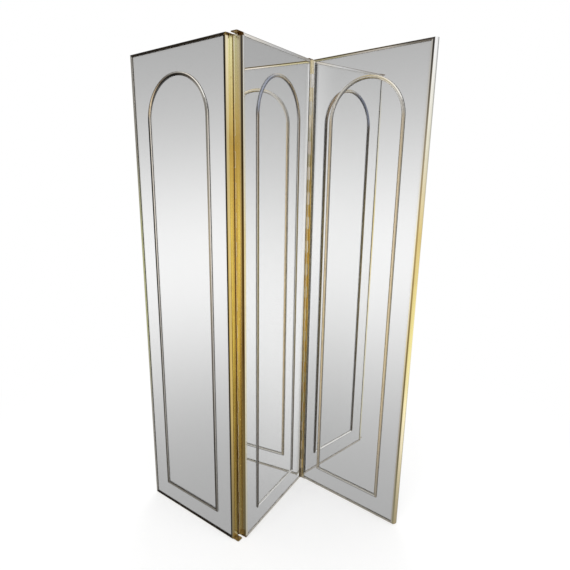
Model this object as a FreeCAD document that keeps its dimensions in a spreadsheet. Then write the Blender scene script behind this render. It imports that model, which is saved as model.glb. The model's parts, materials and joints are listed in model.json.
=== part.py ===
# Three-panel folding mirror screen. Each panel is a timber frame with a mirror on its front,
# an arched bead on the glass and bent metal channels round its edges. Two continuous hinges
# join the panels: the left one folds backwards, the right one folds forwards.
# Millimetres, +Z up, +Y away from the viewer who faces the mirrors.
import FreeCAD, Part
import math
import os
import re
import Sketcher
from FreeCAD import Placement, Rotation, Vector

sizes = {
    # panels
    "panel_height": 1829,
    "panel_width": 457,
    "stile_width": 40,
    "stile_depth": 22,
    "rail_height": 60,
    "skin_thick": 3,
    "glass_thick": 4,
    "glass_gap": 0.5,
    # edge channels
    "metal_thick": 1.2,
    "lip_width": 9,
    "bend_radius": 1.5,
    "nosing_bulge": 8,
    "nosing_gap": 0.2,
    # beads on the glass: the margins run to their centre lines
    "bead_width": 12,
    "bead_height": 4.2,
    "bead_flank": 0.8,
    "bead_side_margin": 85.3,
    "bead_bottom_margin": 90.5,
    "bead_top_margin": 89.2,
    # continuous hinges
    "hinge_end_gap": 1,
    "pin_radius": 1.6,
    "pin_clearance": 0.05,
    "pin_face_offset": 3.6,
    "pin_side_offset": 2,
    "leaf_thick": 1.3,
    "leaf_reach": 16,
    "leaf_relief": 3.4,
    "leaf_root": 2,
    "knuckle_radius": 2.95,
    "knuckle_gap": 0.4,
    "knuckle_count": 37,
    # countersunk screws
    "screw_radius": 1.6,
    "screw_head_radius": 2.9,
    "screw_length": 16,
    "screw_point": 3,
    "screw_clearance": 0.1,
    "screw_reach": 11.8,
    "screw_end_distance": 123,
    "screws_per_leaf": 9,
    # lap plates at the hinge ends
    "plate_width": 20,
    "plate_to_hinge": 5,
    "plate_thick": 3,
    "plate_inboard": 16,
    "plate_overhang": 24,
    "plate_corner": 4,
    "plate_relief": 0.5,
    "plate_screw_inset": 7.5,
    "plate_screw_spread": 10,
    # glides under the panels
    "glide_radius": 11,
    "glide_height": 6,
    "glide_chamfer": 2,
    "glide_side_distance": 75,
    "shank_radius": 1.5,
    "shank_length": 14,
    "shank_clearance": 0.1,
    # how far each panel is turned from facing the viewer, in degrees
    "left_angle": 39.38,
    "centre_angle": 55.15,
    "right_angle": 42.55,
    # how far a cutting outline runs past the piece it cuts
    "cut_over": 1,
}

# Sizes that follow from the ones above.
derived = {
    "panel_depth": "core_back + metal_thick",
    "core_front": "metal_thick + glass_thick",
    "core_back": "core_front + stile_depth + skin_thick",
    "stile_back": "core_front + stile_depth",
    "stile_edge": "metal_thick + stile_width",
    "glass_edge": "metal_thick + glass_gap",
    "nosing_radius": "(panel_depth ^ 2 / 4 + nosing_bulge ^ 2) / (2 * nosing_bulge)",
    "nosing_inner": "nosing_radius - metal_thick",
    "nosing_core": "nosing_inner - nosing_gap",
    "nosing_centre": "nosing_radius - nosing_bulge",
    "half_depth": "panel_depth / 2",
    "half_bead": "bead_width / 2",
    "bead_rise": "bead_height - bead_flank",
    "bead_radius": "(half_bead ^ 2 + bead_rise ^ 2) / (2 * bead_rise)",
    "arch_radius": "panel_width / 2 - bead_side_margin",
    "arch_spring": "panel_height - bead_top_margin - arch_radius",
    "bead_start": "bead_side_margin - half_bead",
    "bead_foot": "bead_bottom_margin - half_bead",
    "hinge_length": "panel_height - 2 * hinge_end_gap",
    "knuckle_pitch": "hinge_length / knuckle_count",
    "leaf_face": "pin_side_offset - leaf_thick",
    "screw_span": "hinge_length - 2 * screw_end_distance",
    "screw_hole": "screw_radius + screw_clearance",
    "head_hole": "screw_head_radius + screw_clearance",
    "head_depth": "screw_head_radius - screw_radius",
    "screw_depth": "screw_length - leaf_thick + screw_clearance",
    "plate_screw_depth": "screw_length - plate_thick + screw_clearance",
    "plate_half": "plate_width / 2",
    "shank_hole": "shank_radius + shank_clearance",
}

doc = FreeCAD.newDocument("mirror_screen")
sheet = doc.addObject("Spreadsheet::Sheet", "Sizes")
for row, (name, size) in enumerate(sizes.items(), start=1):
    sheet.set(f"A{row}", name)
    sheet.set(f"B{row}", str(size))
    sheet.setAlias(f"B{row}", name)
doc.recompute()

parts = []


def formula(text):
    def swap(word):
        name = word.group(0)
        if name in derived:
            return "(" + formula(derived[name]) + ")"
        return "Sizes." + name if name in sizes else name
    return re.sub(r"[a-z_]+", swap, str(text))


def value(text):
    return float(sheet.evalExpression(formula(text)))


def bind(thing, target, text):
    thing.setExpression(target, formula(text))


def across(side, distance):
    return f"({distance})" if side == "left" else f"(panel_width - ({distance}))"


def up(end, distance):
    return f"({distance})" if end == "bottom" else f"(panel_height - ({distance}))"


def newBody(label, place):
    body = doc.addObject("PartDesign::Body", label)
    body.Label = label
    body.AllowCompound = True
    body.Placement = place
    parts.append(body)
    return body


# A sketch on one of the body's own planes, its origin moved by (x, y) in the plane and along
# the plane's normal: XY faces +Z, YZ faces +X and XZ faces -Y.
def newSketch(body, name, plane, normal=0, x=0, y=0):
    sketch = body.newObject("Sketcher::SketchObject", name)
    face = [feature for feature in body.Origin.OriginFeatures if feature.Role == plane + "_Plane"][0]
    sketch.AttachmentSupport = [(face, "")]
    sketch.MapMode = "FlatFace"
    for letter, distance in (("x", x), ("y", y), ("z", normal)):
        bind(sketch, f"AttachmentOffset.Base.{letter}", distance)
    return sketch


def arcMiddle(start, end, radius, turn):
    chord = end - start
    middle = (start + end) / 2
    sag = radius - math.sqrt(max(radius ** 2 - chord.Length ** 2 / 4, 0))
    return middle + Vector(chord.y, -chord.x, 0).normalize() * sag * turn


# Corners are (x, y) for a straight edge to the next corner, or (x, y, "out" or "in", radius)
# for an arc that bulges out of the outline or into it. Every number is a formula.
def drawOutline(sketch, corners, closed=True):
    points = [Vector(value(corner[0]), value(corner[1]), 0) for corner in corners]
    area = sum(a.x * b.y - b.x * a.y for a, b in zip(points, points[1:] + points[:1]))
    edges = []
    for index in range(len(corners) if closed else len(corners) - 1):
        corner, start, end = corners[index], points[index], points[(index + 1) % len(points)]
        if len(corner) == 2:
            edges.append((sketch.addGeometry(Part.LineSegment(start, end), False), 1, 2))
            continue
        turn = (1 if area > 0 else -1) * (1 if corner[2] == "out" else -1)
        middle = arcMiddle(start, end, value(corner[3]), turn)
        edge = sketch.addGeometry(Part.Arc(start, middle, end), False)
        edges.append((edge, 1, 2) if turn > 0 else (edge, 2, 1))
        radius = sketch.addConstraint(Sketcher.Constraint("Radius", edge, value(corner[3])))
        bind(sketch, f"Constraints[{radius}]", corner[3])
    for index, (edge, first, last) in enumerate(edges):
        if closed or index + 1 < len(edges):
            following = edges[(index + 1) % len(edges)]
            sketch.addConstraint(Sketcher.Constraint("Coincident", edge, last, following[0], following[1]))
    ends = [(edge, first) for edge, first, last in edges]
    if not closed:
        ends.append((edges[-1][0], edges[-1][2]))
    for (edge, end), corner, point in zip(ends, corners, points):
        for kind, text, number in (("DistanceX", corner[0], point.x), ("DistanceY", corner[1], point.y)):
            index = sketch.addConstraint(Sketcher.Constraint(kind, -1, 1, edge, end, number))
            bind(sketch, f"Constraints[{index}]", text)


def drawRectangle(sketch, x1, x2, y1, y2):
    drawOutline(sketch, [(x1, y1), (x2, y1), (x2, y2), (x1, y2)])


def drawCircle(sketch, x, y, radius):
    centre = Vector(value(x), value(y), 0)
    circle = sketch.addGeometry(Part.Circle(centre, Vector(0, 0, 1), value(radius)), False)
    settings = (("DistanceX", (-1, 1, circle, 3, centre.x), x),
                ("DistanceY", (-1, 1, circle, 3, centre.y), y),
                ("Radius", (circle, value(radius)), radius))
    for kind, ends, text in settings:
        index = sketch.addConstraint(Sketcher.Constraint(kind, *ends))
        bind(sketch, f"Constraints[{index}]", text)


def pad(body, sketch, length, reverse=False):
    feature = body.newObject("PartDesign::Pad", sketch.Name + "Pad")
    feature.Profile = sketch
    feature.Reversed = reverse
    bind(feature, "Length", length)
    return feature


# A pocket cuts against the sketch's normal, or along it when reversed.
def pocket(body, sketch, depth, reverse=False, taper=0):
    feature = body.newObject("PartDesign::Pocket", sketch.Name + "Pocket")
    feature.Profile = sketch
    feature.Reversed = reverse
    feature.TaperAngle = taper
    bind(feature, "Length", depth)
    return feature


def pocketThrough(body, sketch):
    feature = body.newObject("PartDesign::Pocket", sketch.Name + "Pocket")
    feature.Profile = sketch
    feature.Type = "ThroughAll"
    feature.SideType = "Symmetric"
    return feature


def repeat(body, features, sketch, axis, length, count):
    pattern = body.newObject("PartDesign::LinearPattern", features[-1].Name + "Row")
    pattern.Originals = features
    pattern.Direction = (sketch, [axis])
    bind(pattern, "Length", length)
    bind(pattern, "Occurrences", count)
    body.Tip = pattern


def block(label, place, x1, x2, y1, y2, z1, z2):
    body = newBody(label, place)
    sketch = newSketch(body, "section", "XY", z1)
    drawRectangle(sketch, x1, x2, y1, y2)
    pad(body, sketch, f"({z2}) - ({z1})")
    return body


# Distance of the hinge pin, and of the leaf's screws, from the plane of the front lips.
def pinDepth(hingeFace):
    return "(panel_depth + pin_face_offset)" if hingeFace == "back" else "(-pin_face_offset)"


def screwDepth(hingeFace):
    return f"({pinDepth(hingeFace)} {'-' if hingeFace == 'back' else '+'} screw_reach)"


def drillHingeRow(body, side, hingeFace, depth):
    sketch = newSketch(body, "hingeHole", "YZ", across(side, "0"))
    drawCircle(sketch, screwDepth(hingeFace), "hinge_end_gap + screw_end_distance", "screw_hole")
    hole = pocket(body, sketch, depth, reverse=side == "left")
    repeat(body, [hole], sketch, "V_Axis", "screw_span", "screws_per_leaf")


def drillPlateHoles(body, side, end, depth):
    sketch = newSketch(body, side + "PlateHoles", "XY", up(end, "0"))
    for sign in ("-", "+"):
        drawCircle(sketch, across(side, "plate_screw_inset"),
                   f"half_depth {sign} plate_screw_spread / 2", "screw_hole")
    pocket(body, sketch, depth, reverse=end == "bottom")


def drillGlideHoles(body, depth):
    sketch = newSketch(body, "glideHole", "XY")
    drawCircle(sketch, "glide_side_distance", "half_depth", "shank_hole")
    hole = pocket(body, sketch, depth, reverse=True)
    repeat(body, [hole], sketch, "H_Axis", "panel_width - 2 * glide_side_distance", "2")


# Cuts both ends of a piece at 45 degrees. Each corner is (side, end), and (x, z, reach) is
# where the cut starts from that corner and how far it runs.
def mitre(body, corners, x, z, reach, upright):
    sketch = newSketch(body, "mitre", "XZ")
    near, far = "cut_over", f"({reach} + cut_over)"
    for side, end in corners:
        nearX, farX = across(side, f"{x} - {near}"), across(side, f"{x} + {far}")
        nearZ, farZ = up(end, f"{z} - {near}"), up(end, f"{z} + {far}")
        third = (farX, nearZ) if upright else (nearX, farZ)
        drawOutline(sketch, [(nearX, nearZ), (farX, farZ), third])
    pocketThrough(body, sketch)


def stile(panel, side, setup, place):
    body = newBody(f"{panel}_{side}_stile", place)
    sketch = newSketch(body, "section", "XY", "metal_thick")
    if setup["edges"][side] == "free":
        reach = "nosing_centre - sqrt(nosing_core ^ 2 - ({} - half_depth) ^ 2)"
        drawOutline(sketch, [(across(side, reach.format("core_front")), "core_front"),
                             (across(side, "stile_edge"), "core_front"),
                             (across(side, "stile_edge"), "stile_back"),
                             (across(side, reach.format("stile_back")), "stile_back",
                              "out", "nosing_core")])
    else:
        drawRectangle(sketch, across(side, "metal_thick"), across(side, "stile_edge"),
                      "core_front", "stile_back")
    pad(body, sketch, "panel_height - 2 * metal_thick")
    if setup["edges"][side] != "free":
        drillHingeRow(body, side, setup["edges"][side], "screw_depth")
    if side in setup["plates"]:
        drillPlateHoles(body, side, setup["plates"][side], "plate_screw_depth")


def core(panel, place):
    left, right = across("left", "stile_edge"), across("right", "stile_edge")
    front, back = "core_front + skin_thick", "stile_back"
    low, high = up("bottom", "metal_thick"), up("top", "metal_thick")
    block(f"{panel}_front_skin", place, left, right, "core_front", front, low, high)
    block(f"{panel}_back_skin", place, across("left", "metal_thick"),
          across("right", "metal_thick"), back, "core_back", low, high)
    block(f"{panel}_top_rail", place, left, right, front, back,
          up("top", "metal_thick + rail_height"), high)
    block(f"{panel}_middle_rail", place, left, right, front, back,
          "(panel_height - rail_height) / 2", "(panel_height + rail_height) / 2")
    bottomRail = block(f"{panel}_bottom_rail", place, left, right, front, back,
                       low, up("bottom", "metal_thick + rail_height"))
    drillGlideHoles(bottomRail, "shank_length + shank_clearance")


def mirror(panel, place):
    block(f"{panel}_mirror", place, across("left", "glass_edge"), across("right", "glass_edge"),
          "metal_thick", "core_front", up("bottom", "glass_edge"), up("top", "glass_edge"))


# The bent channel's section: a web, and a lip over the front and the back of the panel.
# 'out' turns a distance from the panel's edge into a sketch coordinate.
def channelSection(out, swap):
    corners = [("bend_radius", "0"), ("lip_width", "0"), ("lip_width", "metal_thick"),
               ("metal_thick", "metal_thick"), ("metal_thick", "core_back"),
               ("lip_width", "core_back"), ("lip_width", "panel_depth"),
               ("bend_radius", "panel_depth", "out", "bend_radius"),
               ("0", "panel_depth - bend_radius"), ("0", "bend_radius", "out", "bend_radius")]
    placed = []
    for corner in corners:
        pair = (out(corner[0]), corner[1])
        placed.append((pair[::-1] if swap else pair) + corner[2:])
    return placed


def nosingSection(side):
    inner = "nosing_centre - sqrt(nosing_inner ^ 2 - (half_depth - metal_thick) ^ 2)"
    lip = across(side, "lip_width")
    return [(across(side, "0"), "0"), (lip, "0"), (lip, "metal_thick"),
            (across(side, inner), "metal_thick", "in", "nosing_inner"),
            (across(side, inner), "core_back"), (lip, "core_back"), (lip, "panel_depth"),
            (across(side, "0"), "panel_depth", "out", "nosing_radius")]


def sideChannel(panel, side, setup, place):
    body = newBody(f"{panel}_{side}_channel", place)
    section = newSketch(body, "section", "XY")
    if setup["edges"][side] == "free":
        drawOutline(section, nosingSection(side))
        pad(body, section, "panel_height")
        for end in ("bottom", "top"):
            cap = newSketch(body, end + "Cap", "XY", up(end, "0"))
            drawOutline(cap, [(across(side, "0"), "0"),
                              (across(side, "0"), "panel_depth", "out", "nosing_radius")])
            pad(body, cap, "metal_thick", reverse=end == "top")
    else:
        drawOutline(section, channelSection(lambda distance: across(side, distance), False))
        pad(body, section, "panel_height")
    mitre(body, [(side, "bottom"), (side, "top")], "0", "0", "lip_width", upright=True)
    if setup["edges"][side] != "free":
        drillHingeRow(body, side, setup["edges"][side], "metal_thick")


def endChannel(panel, end, setup, place):
    body = newBody(f"{panel}_{end}_channel", place)
    section = newSketch(body, "section", "YZ")
    drawOutline(section, channelSection(lambda distance: up(end, distance), True))
    pad(body, section, "panel_width")
    mitre(body, [("left", end), ("right", end)], "0", "0", "lip_width", upright=False)
    for side in setup["plates"]:
        if setup["plates"][side] == end:
            drillPlateHoles(body, side, end, "metal_thick")
    if end == "bottom":
        drillGlideHoles(body, "metal_thick")


# The bead's section: a flat foot on the glass, short flanks and a rounded top. The pairs are
# (along the width of the bead, out of the glass).
def beadSection(low, high, swap):
    flank = "metal_thick - bead_flank"
    corners = [(high, "metal_thick"), (low, "metal_thick"), (low, flank, "out", "bead_radius"),
               (high, flank)]
    return [corner[1::-1] + corner[2:] if swap else corner for corner in corners]


def beads(panel, place):
    inner = "bead_start + bead_width"
    body = newBody(f"{panel}_arch_bead", place)
    path = newSketch(body, "path", "XZ")
    left, right = across("left", "bead_side_margin"), across("right", "bead_side_margin")
    drawOutline(path, [(left, "bead_foot"), (left, "arch_spring", "out", "arch_radius"),
                       ("panel_width / 2", "arch_spring + arch_radius", "out", "arch_radius"),
                       (right, "arch_spring"), (right, "bead_foot")], closed=False)
    section = newSketch(body, "section", "XY", "bead_foot")
    drawOutline(section, beadSection("bead_start", inner, False))
    pipe = body.newObject("PartDesign::AdditivePipe", "bead")
    pipe.Profile = section
    pipe.Spine = (path, [])
    pipe.Transition = "Transformed"
    corners = [("left", "bottom"), ("right", "bottom")]
    mitre(body, corners, "bead_start", "bead_foot", "bead_width", upright=True)

    body = newBody(f"{panel}_sill_bead", place)
    section = newSketch(body, "section", "YZ", "bead_start")
    drawOutline(section, beadSection("bead_foot", "bead_foot + bead_width", True))
    pad(body, section, "panel_width - 2 * bead_start")
    mitre(body, corners, "bead_start", "bead_foot", "bead_width", upright=False)


def glides(panel, place):
    body = newBody(f"{panel}_glides", place)
    sketch = newSketch(body, "section", "XZ", normal="-half_depth", x="glide_side_distance")
    drawOutline(sketch, [("0", "-glide_height"), ("glide_radius - glide_chamfer", "-glide_height"),
                         ("glide_radius", "glide_chamfer - glide_height"), ("glide_radius", "0"),
                         ("shank_radius", "0"), ("shank_radius", "shank_length"),
                         ("0", "shank_length")])
    turned = body.newObject("PartDesign::Revolution", "turned")
    turned.Profile = sketch
    turned.ReferenceAxis = (sketch, ["V_Axis"])
    turned.Angle = 360
    repeat(body, [turned], sketch, "H_Axis", "panel_width - 2 * glide_side_distance", "2")


# A flat plate screwed to the end of one panel that laps over the end of the next one.
def lapPlate(panel, side, end, hingeFace, place):
    body = newBody(f"{panel}_{side}_lap_plate", place)
    low, high = "half_depth - plate_half", "half_depth + plate_half"
    if hingeFace == "back":
        high += " + plate_to_hinge"
    else:
        low += " - plate_to_hinge"
    far, near = across(side, "-plate_overhang"), across(side, "plate_inboard")
    farIn = across(side, "plate_corner - plate_overhang")
    nearIn = across(side, "plate_inboard - plate_corner")
    lowIn, highIn = low + " + plate_corner", high + " - plate_corner"
    section = newSketch(body, "section", "XY", up(end, "0"))
    drawOutline(section, [(farIn, low), (nearIn, low, "out", "plate_corner"),
                          (near, lowIn), (near, highIn, "out", "plate_corner"),
                          (nearIn, high), (farIn, high, "out", "plate_corner"),
                          (far, highIn), (far, lowIn, "out", "plate_corner")])
    pad(body, section, "plate_thick", reverse=end == "bottom")
    relief = newSketch(body, "relief", "XY", up(end, "0"))
    drawRectangle(relief, across(side, "-plate_overhang - cut_over"), across(side, "0"),
                  low + " - cut_over", high + " + cut_over")
    pocket(body, relief, "plate_relief", reverse=end == "top")
    face = up(end, "-plate_thick")
    for name, radius, depth, taper in (("holes", "screw_hole", "plate_thick", 0),
                                       ("sinks", "head_hole", "head_depth", -45)):
        sketch = newSketch(body, name, "XY", face)
        for sign in ("-", "+"):
            drawCircle(sketch, across(side, "plate_screw_inset"),
                       f"half_depth {sign} plate_screw_spread / 2", radius)
        pocket(body, sketch, depth, reverse=end == "bottom", taper=taper)


# Hinge pieces are drawn round the pin axis, as they lie on the back of the panels: the leaf on
# side -1 belongs to the panel at -X. A hinge on the front is the same one turned by 180 degrees.
def hingeLeaf(label, side, firstKnuckle, place):
    body = newBody(label, place)
    face, root = f"{side} * leaf_face", f"{side} * pin_side_offset"
    strip = newSketch(body, "strip", "XY")
    drawRectangle(strip, face, root, "-leaf_reach", "-leaf_relief")
    pad(body, strip, "hinge_length")
    low = f"{firstKnuckle} * knuckle_pitch + knuckle_gap / 2"
    ring = newSketch(body, "ring", "XY", low)
    drawCircle(ring, "0", "0", "knuckle_radius")
    drawCircle(ring, "0", "0", "pin_radius + pin_clearance")
    root = newSketch(body, "root", "XY", low)
    drawRectangle(root, face, f"{side} * pin_side_offset", "-leaf_relief", "-leaf_root")
    knuckle = [pad(body, sketch, "knuckle_pitch - knuckle_gap") for sketch in (root, ring)]
    count = "floor((knuckle_count + 1) / 2)" if firstKnuckle == 0 else "floor(knuckle_count / 2)"
    upward = newSketch(body, "upward", "YZ")
    repeat(body, knuckle, upward, "V_Axis", f"2 * knuckle_pitch * ({count} - 1)", count)
    sink = newSketch(body, "sink", "YZ", face)
    drawCircle(sink, "-screw_reach", "screw_end_distance", "head_hole")
    hole = pocket(body, sink, "leaf_thick", reverse=side > 0, taper=-45)
    repeat(body, [hole], sink, "V_Axis", "screw_span", "screws_per_leaf")


def hingePin(label, place):
    pin = doc.addObject("Part::Cylinder", label)
    pin.Label = label
    bind(pin, "Radius", "pin_radius")
    bind(pin, "Height", "hinge_length")
    pin.Placement = place
    parts.append(pin)


# One countersunk screw: its head's top at the origin, its point at -Z.
def screwShape():
    head, shank, depth = value("screw_head_radius"), value("screw_radius"), value("head_depth")
    length, point = value("screw_length"), value("screw_point")
    profile = [(0, 0), (head, 0), (shank, -depth), (shank, point - length), (0, -length), (0, 0)]
    wire = Part.makePolygon([Vector(x, 0, z) for x, z in profile])
    return Part.Face(wire).revolve(Vector(), Vector(0, 0, 1), 360)


def screws(panel, setup, place):
    places = []
    for side, hingeFace in setup["edges"].items():
        if hingeFace == "free":
            continue
        x = value(across(side, "-leaf_thick"))
        inward = Rotation(Vector(0, 0, -1), Vector(1 if side == "left" else -1, 0, 0))
        count = int(value("screws_per_leaf"))
        for index in range(count):
            rise = value("hinge_end_gap + screw_end_distance") + index * value("screw_span") / (count - 1)
            places.append(Placement(Vector(x, value(screwDepth(hingeFace)), rise), inward))
    for side, end in setup["plates"].items():
        downward = Rotation(Vector(1, 0, 0), 180 if end == "bottom" else 0)
        for sign in ("-", "+"):
            y = value(f"half_depth {sign} plate_screw_spread / 2")
            spot = Vector(value(across(side, "plate_screw_inset")), y, value(up(end, "-plate_thick")))
            places.append(Placement(spot, downward))
    group = doc.addObject("Part::Feature", f"{panel}_screws")
    group.Label = f"{panel}_screws"
    one = screwShape()
    group.Shape = Part.makeCompound([one.transformed(spot.toMatrix()) for spot in places])
    group.Placement = place
    parts.append(group)


# A panel's own frame has its origin at the bottom left corner of the front lips, X across the
# panel and Y towards its back. "edges" says on which face each edge's hinge pin lies.
panels = {
    "left_wing": {"turn": "-left_angle", "edges": {"left": "free", "right": "back"},
                  "plates": {"right": "bottom"}},
    "centre": {"turn": "centre_angle", "edges": {"left": "back", "right": "front"},
               "plates": {"left": "top", "right": "top"}},
    "right_wing": {"turn": "-right_angle", "edges": {"left": "front", "right": "free"},
                   "plates": {"left": "bottom"}},
}


def pinSpot(panel, side):
    depth = value(pinDepth(panels[panel]["edges"][side]))
    return Vector(value(across(side, "-pin_side_offset")), depth, 0)


def turnOf(panel):
    return Rotation(Vector(0, 0, 1), value(panels[panel]["turn"]))


# The centre panel stands at the origin, and each wing hangs on the pin that it shares with it.
places = {"centre": Placement(Vector(0, 0, value("glide_height")), turnOf("centre"))}
for wing, own, shared in (("left_wing", "right", "left"), ("right_wing", "left", "right")):
    axis = places["centre"].multVec(pinSpot("centre", shared))
    places[wing] = Placement(axis - turnOf(wing).multVec(pinSpot(wing, own)), turnOf(wing))

for panel, setup in panels.items():
    place = places[panel]
    core(panel, place)
    mirror(panel, place)
    for side in ("left", "right"):
        stile(panel, side, setup, place)
        sideChannel(panel, side, setup, place)
    for end in ("top", "bottom"):
        endChannel(panel, end, setup, place)
    beads(panel, place)
    glides(panel, place)
    for side, end in setup["plates"].items():
        lapPlate(panel, side, end, setup["edges"][side], place)
    screws(panel, setup, place)

lift = Vector(0, 0, value("hinge_end_gap"))
pinPlaces = {}
for hinge, wing, own, shared, turn in (("left_hinge", "left_wing", "right", "left", 0),
                                       ("right_hinge", "right_wing", "left", "right", 180)):
    half = Rotation(Vector(0, 0, 1), turn)
    wingPlace = places[wing] * Placement(pinSpot(wing, own) + lift, half)
    centrePlace = places["centre"] * Placement(pinSpot("centre", shared) + lift, half)
    hingeLeaf(f"{hinge}_wing_leaf", -1, 1, wingPlace)
    hingeLeaf(f"{hinge}_centre_leaf", 1, 0, centrePlace)
    hingePin(f"{hinge}_pin", centrePlace)
    pinPlaces[hinge] = centrePlace.Base

doc.recompute()

# The screen stands with the middle of its outer box over the origin.
box = FreeCAD.BoundBox()
for piece in parts:
    box.add(piece.Shape.BoundBox)
shift = Vector(-box.Center.x, -box.Center.y, -box.ZMin)
for piece in parts:
    piece.Placement.Base = piece.Placement.Base + shift
doc.recompute()

for thing in doc.Objects:
    if "Invalid" in thing.State or "Error" in thing.State:
        raise RuntimeError(f"{thing.Name} of {thing.getParentGeoFeatureGroup()} is {thing.State}")
for piece in parts:
    if piece.Shape.isNull() or not piece.Shape.isValid():
        raise RuntimeError(f"{piece.Label} has no valid shape")

os.makedirs("parts", exist_ok=True)
for piece in parts:
    piece.Shape.exportStep(f"parts/{piece.Label}.step")
print(len(parts), "parts, box", [round(size, 2) for size in (box.XLength, box.YLength, box.ZLength)])
for hinge, spot in pinPlaces.items():
    print(hinge, "axis at", [round(number, 3) for number in spot + shift])
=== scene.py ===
import json
from math import atan2, degrees, pi, radians

import bpy
from mathutils import Matrix, Vector


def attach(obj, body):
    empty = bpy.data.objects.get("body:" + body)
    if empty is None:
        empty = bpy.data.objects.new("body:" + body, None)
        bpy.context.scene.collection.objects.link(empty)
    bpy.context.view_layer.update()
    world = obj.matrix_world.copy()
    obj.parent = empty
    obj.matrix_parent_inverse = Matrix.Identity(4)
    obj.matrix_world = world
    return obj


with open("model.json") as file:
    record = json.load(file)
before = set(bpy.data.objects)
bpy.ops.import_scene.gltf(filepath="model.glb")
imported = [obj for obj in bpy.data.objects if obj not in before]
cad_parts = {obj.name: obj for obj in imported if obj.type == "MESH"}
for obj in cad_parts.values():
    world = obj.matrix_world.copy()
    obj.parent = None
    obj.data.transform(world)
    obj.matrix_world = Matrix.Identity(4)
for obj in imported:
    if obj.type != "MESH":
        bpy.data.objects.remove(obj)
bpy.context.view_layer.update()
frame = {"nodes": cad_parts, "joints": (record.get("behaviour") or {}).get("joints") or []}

nodes = frame["nodes"]
joints = {joint["name"]: joint for joint in frame["joints"]}


class Value:
    # wraps a socket, so that shader maths reads as plain sums
    def __init__(self, tree, socket):
        self.tree, self.socket = tree, socket

    def math(self, operation, *others):
        made = self.tree.nodes.new("ShaderNodeMath")
        made.operation = operation
        for slot, given in enumerate((self, *others)):
            plug(self.tree, made.inputs[slot], given)
        return Value(self.tree, made.outputs[0])

    def __add__(self, other):
        return self.math("ADD", other)

    def __sub__(self, other):
        return self.math("SUBTRACT", other)

    def __rsub__(self, other):
        return (self * -1) + other

    def __mul__(self, other):
        return self.math("MULTIPLY", other)

    def __truediv__(self, other):
        return self.math("DIVIDE", other)

    __radd__, __rmul__ = __add__, __mul__


def plug(tree, socket, given):
    if isinstance(given, Value):
        tree.links.new(given.socket, socket)
    else:
        socket.default_value = given


def addNode(tree, kind, settings=None, sockets=None, output=0):
    made = tree.nodes.new("ShaderNode" + kind)
    for name, setting in (settings or {}).items():
        if name == "stops":
            ramp = made.color_ramp
            while len(ramp.elements) < len(setting):
                ramp.elements.new(0.5)
            for element, (place, colour) in zip(ramp.elements, setting):
                element.position, element.color = place, (*colour, 1)
        else:
            setattr(made, name, setting)
    for name, given in (sockets or {}).items():
        plug(tree, made.inputs[name], given)
    return None if output is None else Value(tree, made.outputs[output])


def mixed(tree, factor, first, second):
    return addNode(tree, "Mix", {"data_type": "RGBA"}, {0: factor, 6: first, 7: second}, 2)


def between(value, low, high):
    # 0 below low, 1 above high, smooth on the way
    return addNode(value.tree, "MapRange", {"interpolation_type": "SMOOTHSTEP"},
                   {"Value": value, "From Min": low, "From Max": high})


def ramped(value, stops):
    return addNode(value.tree, "ValToRGB", {"stops": stops}, {"Fac": value})


def noise(tree, coords, scale, detail=3, roughness=0.5):
    return addNode(tree, "TexNoise", None, {"Vector": coords, "Scale": scale, "Detail": detail,
                                            "Roughness": roughness})


def newMaterial(name):
    material = bpy.data.materials.new(name)
    material.use_nodes = True
    material.node_tree.nodes.clear()
    return material, material.node_tree


def shader(tree, colour, roughness, metallic=0, normal=None, **fixed):
    sockets = {"Base Color": colour, "Roughness": roughness, "Metallic": metallic}
    sockets.update({name.replace("_", " "): setting for name, setting in fixed.items()})
    if normal is not None:
        sockets["Normal"] = normal
    return addNode(tree, "BsdfPrincipled", None, sockets)


def finished(tree, surface):
    addNode(tree, "OutputMaterial", None, {"Surface": surface}, None)


def bump(tree, height, distance, strength=1.0):
    return addNode(tree, "Bump", None,
                   {"Height": height, "Distance": distance, "Strength": strength})


def below(value, limit):
    # how far value is below limit, 0 above it
    return (value * -1 + limit).math("MAXIMUM", 0)


# each panel's own frame: across from its left edge, depth from its front, up from its foot
panelSizes = {"width": 0.457, "height": 1.829, "depth": 0.0314, "metal": 0.0012,
              "glassEdge": 0.0017, "glass": 0.004}


def panelFrame(panel):
    mesh = nodes[f"{panel}_mirror"].data
    front = max(mesh.polygons, key=lambda face: face.area * (face.normal.y < -0.3)).normal
    turn = atan2(front.x, -front.y)
    flat = Matrix.Rotation(-turn, 3, "Z")
    corners = [flat @ vertex.co for vertex in mesh.vertices]
    corner = Vector([min(spot[axis] for spot in corners) for axis in range(3)])
    corner -= Vector((panelSizes["glassEdge"], panelSizes["metal"], panelSizes["glassEdge"]))
    return {"base": Matrix.Rotation(turn, 3, "Z") @ corner, "turn": turn}


panels = {panel: panelFrame(panel) for panel in ("left_wing", "centre", "right_wing")}
bodies = {"left_wing": "left_wing", "centre": "centre_panel", "right_wing": "right_wing"}
for panel, spot in panels.items():
    print("panel", panel, [round(number, 5) for number in spot["base"]], round(spot["turn"], 4))


def panelCoords(tree, panel):
    coords = addNode(tree, "TexCoord", output="Object")
    base, turn = panels[panel]["base"], panels[panel]["turn"]
    turned = addNode(tree, "Mapping", {"vector_type": "TEXTURE"},
                     {"Vector": coords, "Location": base, "Rotation": (0, 0, turn)})
    split = tree.nodes.new("ShaderNodeSeparateXYZ")
    plug(tree, split.inputs[0], turned)
    return turned, *[Value(tree, socket) for socket in split.outputs]


# the camera stands before the ridge, at about three quarters of the screen's height
cameraSetup = {"fromLeftHinge": (0.0226, -1.5736), "height": 1.4338, "pitch": 14.44,
               "roll": -0.436, "lens": 29.4, "sensor": 36, "shift": (0.0744, 0.0069),
               "clip": (0.05, 200)}


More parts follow.
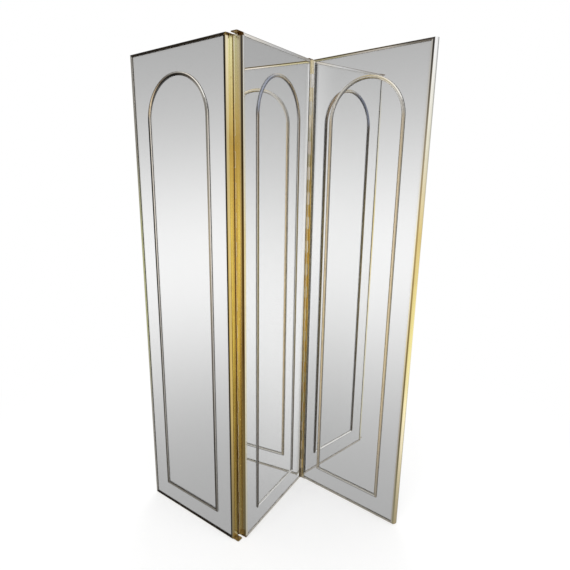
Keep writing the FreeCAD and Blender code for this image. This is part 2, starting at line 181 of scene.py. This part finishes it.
def addCamera(setup):
    data = bpy.data.cameras.new("camera")
    data.sensor_width, data.lens = setup["sensor"], setup["lens"]
    data.shift_x, data.shift_y = setup["shift"]
    data.clip_start, data.clip_end = setup["clip"]
    camera = bpy.data.objects.new("camera", data)
    bpy.context.scene.collection.objects.link(camera)
    hinge = joints["left_fold"]["pos_m"]
    spot = Vector((hinge[0] + setup["fromLeftHinge"][0],
                   hinge[1] + setup["fromLeftHinge"][1], setup["height"]))
    turn = Matrix.Rotation(radians(90 - setup["pitch"]), 4, "X")
    camera.matrix_world = Matrix.Translation(spot) @ turn @ Matrix.Rotation(
        radians(setup["roll"]), 4, "Z")
    bpy.context.scene.camera = camera


addCamera(cameraSetup)
bpy.context.scene.view_settings.view_transform = "Standard"
print("camera set")

# studio: a pale room, brightest a little below eye level as the mirrors show it
roomSetup = {"plain": 0.8, "low": 0.394, "high": 0.553, "centre": -13.4, "centreByX": -1.9,
             "centreByY": -4.3, "spread": 16.7, "sideAt": -0.35, "sideWidth": 0.25,
             "sideDip": 7.0, "sideSpread": 3.2, "windowFrom": 0.07, "windowTo": 0.2,
             "windowRise": 3.0, "windowGlow": 0.42, "windowSill": -2, "windowHead": 14,
             "ceilingFrom": 22, "ceilingTo": 30, "ceilingDim": 0.6, "ceilingMore": 0.55,
             "ceilingDimTo": -0.7, "ceilingBrightFrom": -0.45,
             "sunFrom": 0.25, "sunTo": 0.4, "sunEnd": 0.9, "sunAt": -29, "sunSpread": 8,
             "sunGlow": 0.5}


def addRoom(setup):
    world = bpy.data.worlds.new("studio")
    bpy.context.scene.world = world
    world.use_nodes = True
    tree = world.node_tree
    tree.nodes.clear()
    direction = addNode(tree, "TexCoord", output="Generated")
    split = tree.nodes.new("ShaderNodeSeparateXYZ")
    plug(tree, split.inputs[0], direction)
    right, away, up = (Value(tree, socket) for socket in split.outputs)
    height = up.math("ARCSINE") * degrees(1)
    offSide = (right - setup["sideAt"]) / setup["sideWidth"]
    side = (offSide * offSide * -1).math("EXPONENT") * away.math("LESS_THAN", 0)
    window = between(right, setup["windowFrom"], setup["windowTo"]) * away.math("LESS_THAN", 0)
    centre = right * setup["centreByX"] + away * setup["centreByY"] + setup["centre"]
    centre = centre + window * setup["windowRise"]
    off = (height - centre + side * setup["sideDip"]) / (side * setup["sideSpread"] + setup["spread"])
    glow = (off * off * -1).math("EXPONENT") * setup["high"] + setup["low"]
    glow = glow + window * between(height, setup["windowSill"], setup["windowHead"]) * setup[
        "windowGlow"]
    offSun = (height - setup["sunAt"]) / setup["sunSpread"]
    sun = between(right, setup["sunFrom"], setup["sunTo"]) * (
        1 - between(right, setup["sunEnd"], 1.0)) * away.math("LESS_THAN", 0)
    glow = glow + (offSun * offSun * -1).math("EXPONENT") * sun * setup["sunGlow"]
    ceiling = between(right, setup["ceilingDimTo"], setup["ceilingBrightFrom"])
    ceiling = ceiling * setup["ceilingMore"] + setup["ceilingDim"]
    glow = glow + between(height, setup["ceilingFrom"], setup["ceilingTo"]) * (ceiling - glow)
    path = tree.nodes.new("ShaderNodeLightPath").outputs
    shown = Value(tree, path["Is Glossy Ray"]).math(
        "MAXIMUM", Value(tree, path["Is Transmission Ray"]))
    level = shown * (glow - setup["plain"]) + setup["plain"]
    camera = Value(tree, path["Is Camera Ray"])
    level = camera * (1 - level) + level
    background = addNode(tree, "Background", None, {"Color": (1, 1, 1, 1), "Strength": level})
    addNode(tree, "OutputWorld", None, {"Surface": background}, None)


floorSetup = {"half": 12, "colour": (0.93, 0.93, 0.925, 1), "paler": (0.95, 0.95, 0.945, 1),
              "grain": 3, "grainShare": 0.4, "share": 0.6, "fadeFrom": 0.9, "fadeTo": 2.0}


def addFloor(setup):
    bpy.ops.mesh.primitive_plane_add(size=2 * setup["half"], location=(0, 0, 0))
    floor = bpy.context.object
    floor.name = "studio_floor"
    material, tree = newMaterial("paleFloor")
    coords = addNode(tree, "TexCoord", output="Object")
    grain = noise(tree, coords, setup["grain"], 2)
    colour = mixed(tree, grain * setup["grainShare"], setup["colour"], setup["paler"])
    matt = addNode(tree, "BsdfDiffuse", None, {"Color": colour})
    glow = addNode(tree, "Emission", None, {"Color": (1, 1, 1, 1), "Strength": 1.0})
    reach = addNode(tree, "VectorMath", {"operation": "LENGTH"}, {0: coords}, 1)
    fade = between(reach, setup["fadeFrom"], setup["fadeTo"]) * (1 - setup["share"])
    path = tree.nodes.new("ShaderNodeLightPath").outputs
    camera = Value(tree, path["Is Camera Ray"])
    lit = addNode(tree, "MixShader", None, {0: camera * (fade + setup["share"]), 1: matt, 2: glow})
    clear = addNode(tree, "BsdfTransparent")
    shown = Value(tree, path["Is Glossy Ray"]).math(
        "MAXIMUM", Value(tree, path["Is Transmission Ray"]))
    finished(tree, addNode(tree, "MixShader", None, {0: shown, 1: lit, 2: clear}))
    floor.data.materials.append(material)


lampAim = (0, 0, 0.9)
lampSetup = {"key": {"at": (-1.6, -2.6, 3.0), "size": 2.4, "power": 60},
             "fill": {"at": (2.4, -2.0, 2.4), "size": 2.8, "power": 34},
             "back": {"at": (0.3, 2.8, 2.6), "size": 2.4, "power": 40}}


def addLamps(setup):
    for name, lamp in setup.items():
        data = bpy.data.lights.new(name, "AREA")
        data.shape, data.size, data.energy = "DISK", lamp["size"], lamp["power"]
        light = bpy.data.objects.new(name, data)
        bpy.context.scene.collection.objects.link(light)
        light.location = lamp["at"]
        aim = Vector(lampAim) - Vector(lamp["at"])
        light.rotation_euler = aim.to_track_quat("-Z", "Y").to_euler()
        light.visible_camera = False
        light.visible_glossy = False
        light.visible_transmission = False


addRoom(roomSetup)
addFloor(floorSetup)
addLamps(lampSetup)
print("studio lit")


# tones of the metal as display colours, pale to dark; the strips below use them for painted
# reflection and painted shade as well as tarnish
toneCodes = {
    "white": "FFFFFF", "ivory": "FFFAE4", "lemon": "FFFCD2", "cream": "F8ECC8",
    "chalk": "F4F0E8",
    "pearl": "E4DCD0", "silver": "DCDAD4", "ash": "C0BCB4", "stone": "9C988E",
    "slate": "787068", "iron": "5C564E", "coal": "484440", "soot": "221E18",
    "gold": "FFF0A4", "straw": "ECDAA0", "honey": "E8D08C", "amber": "D4B86C",
    "ochre": "B8A068", "bronze": "A08850", "umber": "74562C", "bark": "543A10",
    "peat": "382C14", "buff": "E8D4B4", "sand": "D8C8A0", "flax": "C4BC98",
    "tan": "C0B084", "clay": "B0A48C", "lichen": "B4B48C", "drab": "948860",
    "taupe": "887864", "moss": "786C4C", "mud": "5C5034", "steel": "989CA8",
    "lead": "808490",
}
toneHeights = (0.05, 0.4, 0.8, 1.2, 1.5, 1.8)  # where a strip's tones stand, from foot to top


def tone(name):
    # a display colour made linear, as a shader needs it
    code = toneCodes[name]
    parts = [int(code[place:place + 2], 16) / 255 for place in (0, 2, 4)]
    return tuple(part / 12.92 if part <= 0.04045 else ((part + 0.055) / 1.055) ** 2.4
                 for part in parts)


def byHeight(up, names):
    names = names.split()
    if len(names) == 1:
        names = names * len(toneHeights)
    tall = panelSizes["height"]
    return ramped(up / tall, [(height / tall, tone(name))
                              for height, name in zip(toneHeights, names)])


def byAngle(angle, names):
    names = names.split()
    return ramped(angle, [(place / (len(names) - 1), tone(name))
                          for place, name in enumerate(names)])


# brass: bands of painted reflection and painted shade with soft edges between them, clouds of tarnish
# and fine upright streaks
brassSetup = {"lipBlur": 0.0006, "bandBlur": 0.0004, "endFrom": 0.006, "endTo": 0.010,
              "grooveFront": 0.001, "grooveIn": 0.0006, "stretch": 0.02, "streaks": 900,
              "clouds": 9, "fine": 160, "cloudFrom": 0.45, "cloudTo": 0.8, "cloudShare": 0.12,
              "streakFrom": 0.35, "streakTo": 0.75, "streakShare": 0.08,
              "tarnish": (0.3, 0.2, 0.08, 1), "fineFrom": 0.3, "fineTo": 0.8, "fineDull": 0.04,
              "cloudDull": 0.05, "streakDepth": 0.000008}


def brassFinish(name, panel, bands, roughness, lip=None, roll=None, crevice=None, endShade=None):
    # bands: the depth in mm at which a strip starts, and its tones, which paint reflection and shade
    # by height
    setup = brassSetup
    material, tree = newMaterial(name)
    coords, across, depth, up = panelCoords(tree, panel)
    (_, names), *others = bands
    level = name.endswith(("topBrass", "bottomBrass"))  # these strips have their tones along them
    run = across * (panelSizes["height"] / panelSizes["width"]) if level else up
    colour = byHeight(run, names)
    # the lip's own tones are painted reflection and painted shade too
    if lip:  # the tones of the part of the lip that lies before start
        axis, start, names = lip
        edge = between({"across": across, "up": up}[axis], start / 1000 - setup["lipBlur"],
                       start / 1000 + setup["lipBlur"])
        colour = mixed(tree, edge, byHeight(run, names), colour)
    for start, names in others:
        edge = between(depth, start / 1000 - setup["bandBlur"], start / 1000 + setup["bandBlur"])
        colour = mixed(tree, edge, colour, byHeight(up, names))
    if endShade:  # painted shadow and reflection of the lap plates, darker near both ends of the strip
        for limit, inward in ((0, 1), (panelSizes["height"], -1)):
            reach = (up - limit) * inward
            mark = 1 - between(reach, setup["endFrom"], setup["endTo"])
            colour = mixed(tree, mark, colour, (*tone(endShade), 1))
    if crevice:  # painted shade and reflection in the gap beside the knuckles
        axes = joints[crevice["joint"]]["pos_m"]
        place = addNode(tree, "TexCoord", output="Object")
        parts = tree.nodes.new("ShaderNodeSeparateXYZ")
        plug(tree, parts.inputs[0], place)
        sideways, forward = (Value(tree, parts.outputs[axis]) - axes[axis] for axis in (0, 1))
        beside = between(sideways * -1, -crevice["to"], -crevice["from"])
        before = between(forward * -1, -setup["grooveFront"], setup["grooveFront"])
        inside = between(depth, panelSizes["depth"], panelSizes["depth"] + setup["grooveIn"])
        colour = mixed(tree, beside * before * inside, colour, byHeight(up, crevice["tones"]))
    drawn = addNode(tree, "Mapping", None, {"Vector": coords, "Scale": (1, 1, setup["stretch"])})
    streaks = noise(tree, drawn, setup["streaks"], 2)
    clouds = noise(tree, coords, setup["clouds"], 5, 0.6)
    fine = noise(tree, coords, setup["fine"], 3)
    tarnish = between(clouds, setup["cloudFrom"], setup["cloudTo"])
    lines = between(streaks, setup["streakFrom"], setup["streakTo"])
    shade = tarnish * setup["cloudShare"] + lines * setup["streakShare"]
    colour = mixed(tree, shade, colour, setup["tarnish"])
    dull = between(fine, setup["fineFrom"], setup["fineTo"]) * setup["fineDull"]
    dull = dull + tarnish * setup["cloudDull"] + roughness
    height = streaks * setup["streakDepth"]
    if roll:  # how the sheet leans along its edge: a slope that starts at a place, in mm
        axis, start, slope = roll
        lean = below(depth, start / 1000) if axis == "depth" else up
        height = height - lean * slope
    finished(tree, shader(tree, colour, dull, 1.0, bump(tree, height, 1.0)))
    return material


# painted reflection and painted shade: each channel strip's tones, band by band in depth and by
# height, stand in for what the brass reflects and the shade in the grooves
goldUnder = ((0.8, "chalk"), (1.6, "straw"))  # the underside of a lip, then the web behind it
dullUnder = ((0.8, "chalk"), (1.6, "sand"))
channelTones = {
    "left_wing_left": ((0, "ash ash lichen lichen stone ash"),
                       (1.3, "chalk silver flax flax ash pearl")),
    "left_wing_right": ((0, "tan tan amber amber sand sand"),
                        (1.3, "ochre ochre amber honey honey cream"),
                        (12, "straw gold gold gold straw lemon")),
    "left_wing_top": ((0, "soot"), (1.3, "straw")),
    "left_wing_bottom": ((0, "soot"), (1.3, "sand")),
    "centre_left": ((0, "ivory ivory cream straw ivory white"),
                    (1.2, "clay bronze umber umber bark drab"),
                    (3, "drab bronze bark bark peat iron"),
                    (10, "drab bronze umber bronze ochre sand"),
                    (14, "ochre bronze ochre honey honey ivory"),
                    (18, "tan ochre amber gold honey ivory")),
    "centre_right": ((0, "clay sand cream cream white white"), *goldUnder),
    "centre_top": ((0, "slate"), *goldUnder),
    "centre_bottom": ((0, "ash"), *dullUnder),
    "right_wing_left": ((0, "cream sand honey honey sand white"), *goldUnder),
    "right_wing_right": ((0, "flax drab bronze ochre clay coal"),
                         (1.3, "sand cream gold honey ivory white")),
    "right_wing_top": ((0, "mud mud mud mud coal coal"), *goldUnder),
    "right_wing_bottom": ((0, "stone"), *dullUnder),
}
# painted reflection and painted shade on the outer part of some lips, by height
channelLips = {
    "left_wing_right": ("across", 455.0, "coal peat peat peat soot soot"),
    "right_wing_right": ("across", 452.6, "pearl pearl cream ivory chalk chalk"),
    "right_wing_top": ("up", 1824.5, "flax flax pearl pearl stone slate"),
    "centre_top": ("up", 1827, "chalk chalk white white chalk pearl"),
}
# painted shadow and reflection of the lap plates at both ends of these strips
channelEndShade = {"left_wing_right": "bronze", "centre_left": "umber"}
channelRolls = {"left_wing_right": ("depth", 12, 0.13)}
channelRolls.update({f"{panel}_top": ("up", 0, 0.21) for panel in panels})
channelRolls.update({f"{panel}_bottom": ("up", 0, 0.18) for panel in panels})
# the back lip, paler toward the top: painted light
channelBack = (30.2, "flax straw straw straw straw cream")
# painted shade and reflection beside the left hinge's knuckles, by height
knuckleShade = {"joint": "left_fold", "from": -0.0006, "to": 0.0020,
                  "tones": "umber bark umber umber umber bronze"}
# painted reflection and painted shade on the hinge leaves, band by band in depth and by height
leafTones = {
    "left_hinge_wing_leaf": ((0, "straw honey gold straw straw lemon"),
                             (24, "tan amber gold straw straw lemon"),
                             (28, "bronze ochre amber honey honey lemon")),
    "left_hinge_centre_leaf": ((0, "tan ochre amber gold honey ivory"),
                               (24, "flax tan honey honey honey ivory"),
                               (29, "sand sand honey honey honey ivory")),
    "right_hinge_wing_leaf": ((0, "sand ochre amber amber flax white"),),
    "right_hinge_centre_leaf": ((0, "clay flax sand pearl pearl cream"),),
}
# painted reflection: lap plates pale at the foot and dark at the top, screws paler toward the top
plateTones = "clay clay clay umber umber umber"
screwTones = "sand honey gold straw straw cream"
roughnesses = {"channel": 0.1, "leaf": 0.16, "plate": 0.3, "screw": 0.2, "bead": 0.16}


# beads: a painted highlight on their crests and painted shade and reflection on their flanks
beadPlace = {"side": 0.0853, "foot": 0.0905, "top": 0.0892, "half": 0.006,
             "underFrom": 0.0006, "underTo": 0.0010}
# how far the painted highlight on each crest is shifted off the bead's middle
beadHighlightShift = {"left_wing": (0.0046, 0.0025), "centre": (-0.0034, 0), "right_wing": (0.0014, 0),
           "sill": 0.0014}
beadSetup = {"crestTo": 0.2, "flankFrom": 0.45, "springBlur": 0.03, "clouds": 18, "fine": 260,
             "spotFrom": 0.5, "spotTo": 0.75, "spotShare": 0.15, "spotDull": 0.08,
             "spot": (0.2, 0.14, 0.09, 1), "under": (0.95, 0.95, 0.95, 1),
             "grainDepth": 0.0001, "grainShare": 0.1}
# painted shade and reflection along the left side of the bead legs
beadEdge = {  # the left side of the legs: where it starts, from where it is full, each leg's tones
    "left_wing": (0.0042, 0.0030, "iron iron soot soot soot coal",
                  "iron coal slate clay stone stone"),
    "centre": (-0.0050, -0.0058, "ash ash pearl pearl pearl ash", "silver"),
}
# painted reflection and painted shade on the beads, as crest and flank tones
beadTones = {  # legs by height, the arch from its right end round to its left one, and the sill
    "left_wing": {"crest": "stone ash ash pearl pearl pearl",
                  "flank": "slate slate iron taupe taupe slate",
                  "archCrest": "ash silver pearl ash taupe buff buff",
                  "archFlank": "stone ash iron soot coal taupe taupe",
                  "sill": "stone iron"},
    "centre": {"crest": "iron slate drab drab taupe slate",
               "flank": "iron iron moss moss iron iron",
               "archCrest": "stone clay clay silver steel steel steel",
               "archFlank": "slate taupe taupe clay lead lead lead",
               "sill": "white silver"},
    "right_wing": {"crest": "ash buff buff buff buff pearl",
                   "flank": "clay clay tan clay clay ash",
                   "archCrest": "pearl chalk cream pearl silver pearl pearl",
                   "archFlank": "ash silver pearl tan ash ash ash",
                   "sill": "silver stone"},
}


def beadFinish(name, panel, part, tones, roughness):
    material, tree = newMaterial(name)
    coords, across, depth, up = panelCoords(tree, panel)
    place, setup, wide, tall = beadPlace, beadSetup, panelSizes["width"], panelSizes["height"]
    radius = wide / 2 - place["side"]
    spring = tall - place["top"] - radius
    if part == "sill_bead":
        off = (up - place["foot"] - beadHighlightShift["sill"]).math("ABSOLUTE")
        crest, flank = ((*tone(shade), 1) for shade in tones["sill"].split())
    else:
        rise = (up - spring).math("MAXIMUM", 0)
        middle = across - wide / 2
        reach = (middle * middle + rise * rise).math("SQRT")
        alongShift, upShift = beadHighlightShift[panel]
        shift = middle / reach * alongShift + rise / reach * upShift
        off = (reach - radius - shift).math("ABSOLUTE")
        angle = rise.math("ARCTAN2", middle) / pi
        onArch = between(rise, 0.0, setup["springBlur"])
        crest, flank = (mixed(tree, onArch, byHeight(up, tones[leg]), byAngle(angle, tones[arch]))
                        for leg, arch in (("crest", "archCrest"), ("flank", "archFlank")))
    # painted highlight on the crest, painted shade on the flanks
    flankShade = between(off, place["half"] * setup["crestTo"], place["half"] * setup["flankFrom"])
    colour = mixed(tree, flankShade, crest, flank)
    # painted shade and reflection on the left side of the legs
    if part != "sill_bead" and panel in beadEdge:
        start, full, *legs = beadEdge[panel]
        off = (reach - radius) * (middle / reach)
        left = between(off * -1, -start, -full) * (1 - onArch)
        edge = mixed(tree, middle.math("GREATER_THAN", 0), *(byHeight(up, leg) for leg in legs))
        colour = mixed(tree, left, colour, edge)
    clouds = noise(tree, coords, setup["clouds"], 4, 0.6)
    fine = noise(tree, coords, setup["fine"], 3)
    spots = between(clouds, setup["spotFrom"], setup["spotTo"])
    colour = mixed(tree, spots * setup["spotShare"], colour, setup["spot"])
    # painted reflection: the flat underside on the glass is painted near white, so its image in the
    # silver shows pale
    under = between(depth, place["underFrom"], place["underTo"])  # the flat side, on the glass
    colour = mixed(tree, under, colour, setup["under"])
    finished(tree, shader(tree, colour, spots * setup["spotDull"] + roughness, 1.0,
                          bump(tree, fine, setup["grainDepth"], setup["grainShare"])))
    return material


paintSetup = {"clouds": 14, "pores": 320, "deep": (0.018, 0.018, 0.018, 1),
              "pale": (0.034, 0.032, 0.03, 1), "rough": 0.38, "roughMore": 0.2,
              "poreDepth": 0.0004, "poreShare": 0.3}


def paintFinish(name, panel):
    setup = paintSetup
    material, tree = newMaterial(name)
    coords = panelCoords(tree, panel)[0]
    clouds = noise(tree, coords, setup["clouds"], 4)
    pores = noise(tree, coords, setup["pores"], 2)
    colour = mixed(tree, clouds, setup["deep"], setup["pale"])
    finished(tree, shader(tree, colour, clouds * setup["roughMore"] + setup["rough"], 0.0,
                          bump(tree, pores, setup["poreDepth"], setup["poreShare"])))
    return material


woodSetup = {"stretch": (30, 30, 1.2), "rings": 2.2, "paleTo": 0.3, "deepFrom": 0.7,
             "rough": 0.55, "roughMore": 0.2, "grainDepth": 0.0004, "grainShare": 0.4}
timberTones = ((0.70, 0.55, 0.37, 1), (0.58, 0.42, 0.25, 1))
boardTones = ((0.38, 0.25, 0.15, 1), (0.30, 0.19, 0.11, 1))


def woodFinish(name, panel, pale, deep):
    setup = woodSetup
    material, tree = newMaterial(name)
    coords = panelCoords(tree, panel)[0]
    stretched = addNode(tree, "Mapping", None, {"Vector": coords, "Scale": setup["stretch"]})
    rings = noise(tree, stretched, setup["rings"], 4, 0.6)
    colour = mixed(tree, between(rings, setup["paleTo"], setup["deepFrom"]), pale, deep)
    finished(tree, shader(tree, colour, rings * setup["roughMore"] + setup["rough"], 0.0,
                          bump(tree, rings, setup["grainDepth"], setup["grainShare"])))
    return material


glassSetup = {"haze": 6, "clear": (0.99, 0.99, 0.99, 1), "hazy": (0.98, 0.985, 0.983, 1),
              "bend": 1.5}


def glassFinish(name):
    setup = glassSetup
    material, tree = newMaterial(name)
    coords = addNode(tree, "TexCoord", output="Object")
    haze = noise(tree, coords, setup["haze"], 3)
    colour = mixed(tree, haze, setup["clear"], setup["hazy"])
    glass = shader(tree, colour, 0.0, 0.0, None, IOR=setup["bend"], Transmission_Weight=1.0)
    finished(tree, glass)
    return material


silverTones = {"clouds": 22, "creep": 0.012, "agedTo": 0.004, "cleanFrom": 0.014, "share": 0.15,
               "clean": (0.965, 0.965, 0.965, 1), "aged": (0.72, 0.68, 0.6, 1)}


def silverFinish(name, panel, roll):
    setup = silverTones
    material, tree = newMaterial(name)
    coords, across, _, up = panelCoords(tree, panel)
    width, height = panelSizes["width"], panelSizes["height"]
    side = (across - width / 2).math("ABSOLUTE") * -1 + width / 2
    end = (up - height / 2).math("ABSOLUTE") * -1 + height / 2
    edge = side.math("MINIMUM", end) - noise(tree, coords, setup["clouds"], 4) * setup["creep"]
    aged = (1 - between(edge, setup["agedTo"], setup["cleanFrom"])) * setup["share"]
    colour = mixed(tree, aged, setup["clean"], setup["aged"])
    normal = None
    if roll:  # the glass pulls in a little toward the hinge
        pull = below(across * -1 + width, roll["wide"])
        normal = bump(tree, pull * pull * roll["curve"], 1.0)
    finished(tree, shader(tree, colour, 0.0, 1.0, normal))
    return material


plainSetup = {"fine": 14, "paleTo": 0.3, "deepFrom": 0.7, "roughMore": 0.15,
              "grainDepth": 0.0003, "grainShare": 0.2}
pinLook = {"pale": (0.16, 0.11, 0.05, 1), "deep": (0.11, 0.075, 0.03, 1), "rough": 0.28,
           "metal": 1.0, "clouds": 60}
glideLook = {"pale": (0.1, 0.075, 0.055, 1), "deep": (0.07, 0.05, 0.038, 1), "rough": 0.45,
             "metal": 0.0, "clouds": 80}


def plainFinish(name, look):
    setup = plainSetup
    material, tree = newMaterial(name)
    coords = addNode(tree, "TexCoord", output="Object")
    clouds = noise(tree, coords, look["clouds"], 4)
    fine = noise(tree, coords, look["clouds"] * setup["fine"], 2)
    colour = mixed(tree, between(clouds, setup["paleTo"], setup["deepFrom"]), look["pale"],
                   look["deep"])
    finished(tree, shader(tree, colour, clouds * setup["roughMore"] + look["rough"],
                          look["metal"], bump(tree, fine, setup["grainDepth"],
                                              setup["grainShare"])))
    return material


def dress(node, material):
    nodes[node].data.materials.clear()
    nodes[node].data.materials.append(material)


pinFinish = plainFinish("drawnSteel", pinLook)
glideFinish = plainFinish("brownNylon", glideLook)
glassPane = glassFinish("clearGlass")

for panel in panels:
    plateBrass = brassFinish(f"{panel}PlateBrass", panel, ((0, plateTones),), roughnesses["plate"])
    screwBrass = brassFinish(f"{panel}ScrewBrass", panel, ((0, screwTones),), roughnesses["screw"])
    timber = woodFinish(f"{panel}Timber", panel, *timberTones)
    board = woodFinish(f"{panel}Board", panel, *boardTones)
    paint = paintFinish(f"{panel}Paint", panel)
    for name in nodes:
        if not name.startswith(panel + "_"):
            continue
        kind = name[len(panel) + 1:]
        if kind.endswith("_channel"):
            side = name[:-len("_channel")]
            dress(name, brassFinish(f"{side}Brass", panel, (*channelTones[side], channelBack),
                                    roughnesses["channel"], channelLips.get(side),
                                    channelRolls.get(side), endShade=channelEndShade.get(side)))
        elif kind.endswith("_bead"):
            dress(name, beadFinish(f"{name}Brass", panel, kind, beadTones[panel],
                                   roughnesses["bead"]))
        elif kind.endswith("_lap_plate"):
            dress(name, plateBrass)
        elif kind == "screws":
            dress(name, screwBrass)
        elif kind.endswith(("_stile", "_rail")):
            dress(name, timber)
        elif kind == "front_skin":
            dress(name, board)
        elif kind == "back_skin":
            dress(name, paint)
        elif kind == "mirror":
            dress(name, glassPane)
        elif kind == "glides":
            dress(name, glideFinish)

for hinge, wing in (("left_hinge", "left_wing"), ("right_hinge", "right_wing")):
    for leaf, panel in (("wing_leaf", wing), ("centre_leaf", "centre")):
        name = f"{hinge}_{leaf}"
        crevice = knuckleShade if hinge == "left_hinge" else None
        dress(name, brassFinish(f"{name}Brass", panel, leafTones[name], roughnesses["leaf"],
                                crevice=crevice))
    dress(f"{hinge}_pin", pinFinish)
print("finishes done")

# silver behind each glass pane
silverSetup = {"thick": 0.00015, "inset": 0.00005, "back": 0.0001}
silverRolls = {"centre": {"wide": 0.033, "curve": 4.2}}


def addSilver(panel, setup):
    spot, size = panels[panel], panelSizes
    edge = size["glassEdge"] + setup["inset"]
    bpy.ops.object.select_all(action="DESELECT")
    bpy.ops.mesh.primitive_plane_add(size=1)
    silver = bpy.context.object
    silver.name = f"{panel}_silvering"
    wide, tall = size["width"] - 2 * edge, size["height"] - 2 * edge
    back = size["metal"] + size["glass"] - setup["back"]
    bpy.ops.object.mode_set(mode="EDIT")
    bpy.ops.mesh.select_all(action="SELECT")
    bpy.ops.transform.resize(value=(wide, tall, 1))
    bpy.ops.transform.rotate(value=radians(-90), orient_axis="X", center_override=(0, 0, 0))
    bpy.ops.mesh.extrude_region_move(TRANSFORM_OT_translate={"value": (0, setup["thick"], 0)})
    bpy.ops.mesh.select_all(action="SELECT")
    bpy.ops.mesh.normals_make_consistent(inside=False)
    bpy.ops.object.mode_set(mode="OBJECT")
    ys = [vertex.co.y for vertex in silver.data.vertices]
    move = Matrix.Translation((size["width"] / 2, back - max(ys), size["height"] / 2))
    place = Matrix.Translation(spot["base"]) @ Matrix.Rotation(spot["turn"], 4, "Z") @ move
    silver.data.transform(place)
    silver.data.materials.append(silverFinish(f"{panel}Silver", panel, silverRolls.get(panel)))
    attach(silver, bodies[panel])


for panel in panels:
    addSilver(panel, silverSetup)
print("mirrors silvered")
